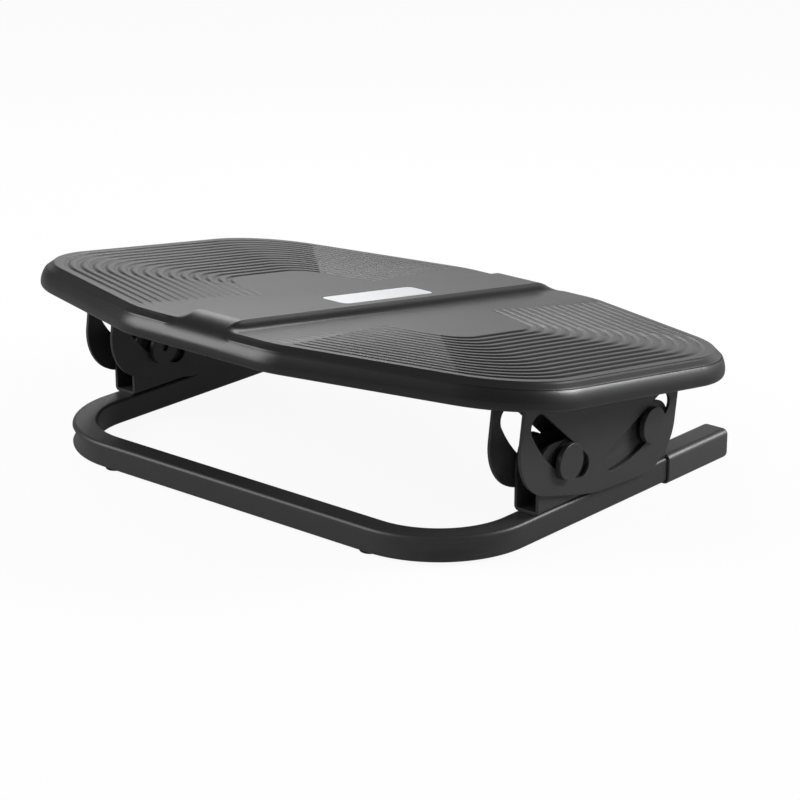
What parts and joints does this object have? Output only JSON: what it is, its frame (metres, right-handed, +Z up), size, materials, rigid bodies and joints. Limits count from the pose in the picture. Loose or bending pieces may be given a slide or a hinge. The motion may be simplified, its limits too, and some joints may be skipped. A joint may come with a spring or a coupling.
{
  "type": "tilting under desk footrest",
  "caption": "Ribbed platform that rocks on arc slots over a flat U-shaped tube base, held by friction at its pins.",
  "frame": {"origin": "on the floor, under the middle of the whole footrest", "axes": "+X to the user's right, +Y away from the user, +Z up, the platform resting 8.5 degrees down at its far edge"},
  "size_m": [0.513, 0.4032, 0.154],
  "materials": {
    "tray_plastic": "satin black moulding",
    "painted_steel": "fine black powder coat",
    "cap_steel": "satin black enamel",
    "sleeve_plastic": "matt dark grey moulding",
    "rubber": "matt black",
    "nylon": "matt black",
    "zinc_steel": "bright zinc",
    "silver": "satin silver, bare"
  },
  "bodies": {
    "base": {"base_tube": "painted_steel", "leg_sleeve_left": "sleeve_plastic", "front_foot_left": "rubber", "lower_channel_left": "painted_steel", "pin_barrel_left_front": "cap_steel", "pin_screw_left_front": "cap_steel", "slot_bush_left_front_outer": "nylon", "slot_bush_left_front_inner": "nylon", "pin_barrel_left_rear": "cap_steel", "pin_screw_left_rear": "cap_steel", "slot_bush_left_rear_outer": "nylon", "slot_bush_left_rear_inner": "nylon", "leg_sleeve_right": "sleeve_plastic", "front_foot_right": "rubber", "lower_channel_right": "painted_steel", "pin_barrel_right_front": "cap_steel", "pin_screw_right_front": "cap_steel", "slot_bush_right_front_outer": "nylon", "slot_bush_right_front_inner": "nylon", "pin_barrel_right_rear": "cap_steel", "pin_screw_right_rear": "cap_steel", "slot_bush_right_rear_outer": "nylon", "slot_bush_right_rear_inner": "nylon"},
    "platform": {"footrest_tray": "tray_plastic", "nameplate": "silver", "rocker_bracket_left": "painted_steel", "tray_screw_left_1": "zinc_steel", "tray_screw_left_2": "zinc_steel", "tray_screw_left_3": "zinc_steel", "tray_screw_left_4": "zinc_steel", "rocker_bracket_right": "painted_steel", "tray_screw_right_1": "zinc_steel", "tray_screw_right_2": "zinc_steel", "tray_screw_right_3": "zinc_steel", "tray_screw_right_4": "zinc_steel"}
  },
  "joints": [
    {"name": "platform_tilt", "type": "hinge", "parent": "base", "child": "platform", "pos_m": [0, 0.00596, 0.14002], "axis": [-1, 0, 0], "range_deg": [-28.5, 11.5]}
  ]
}
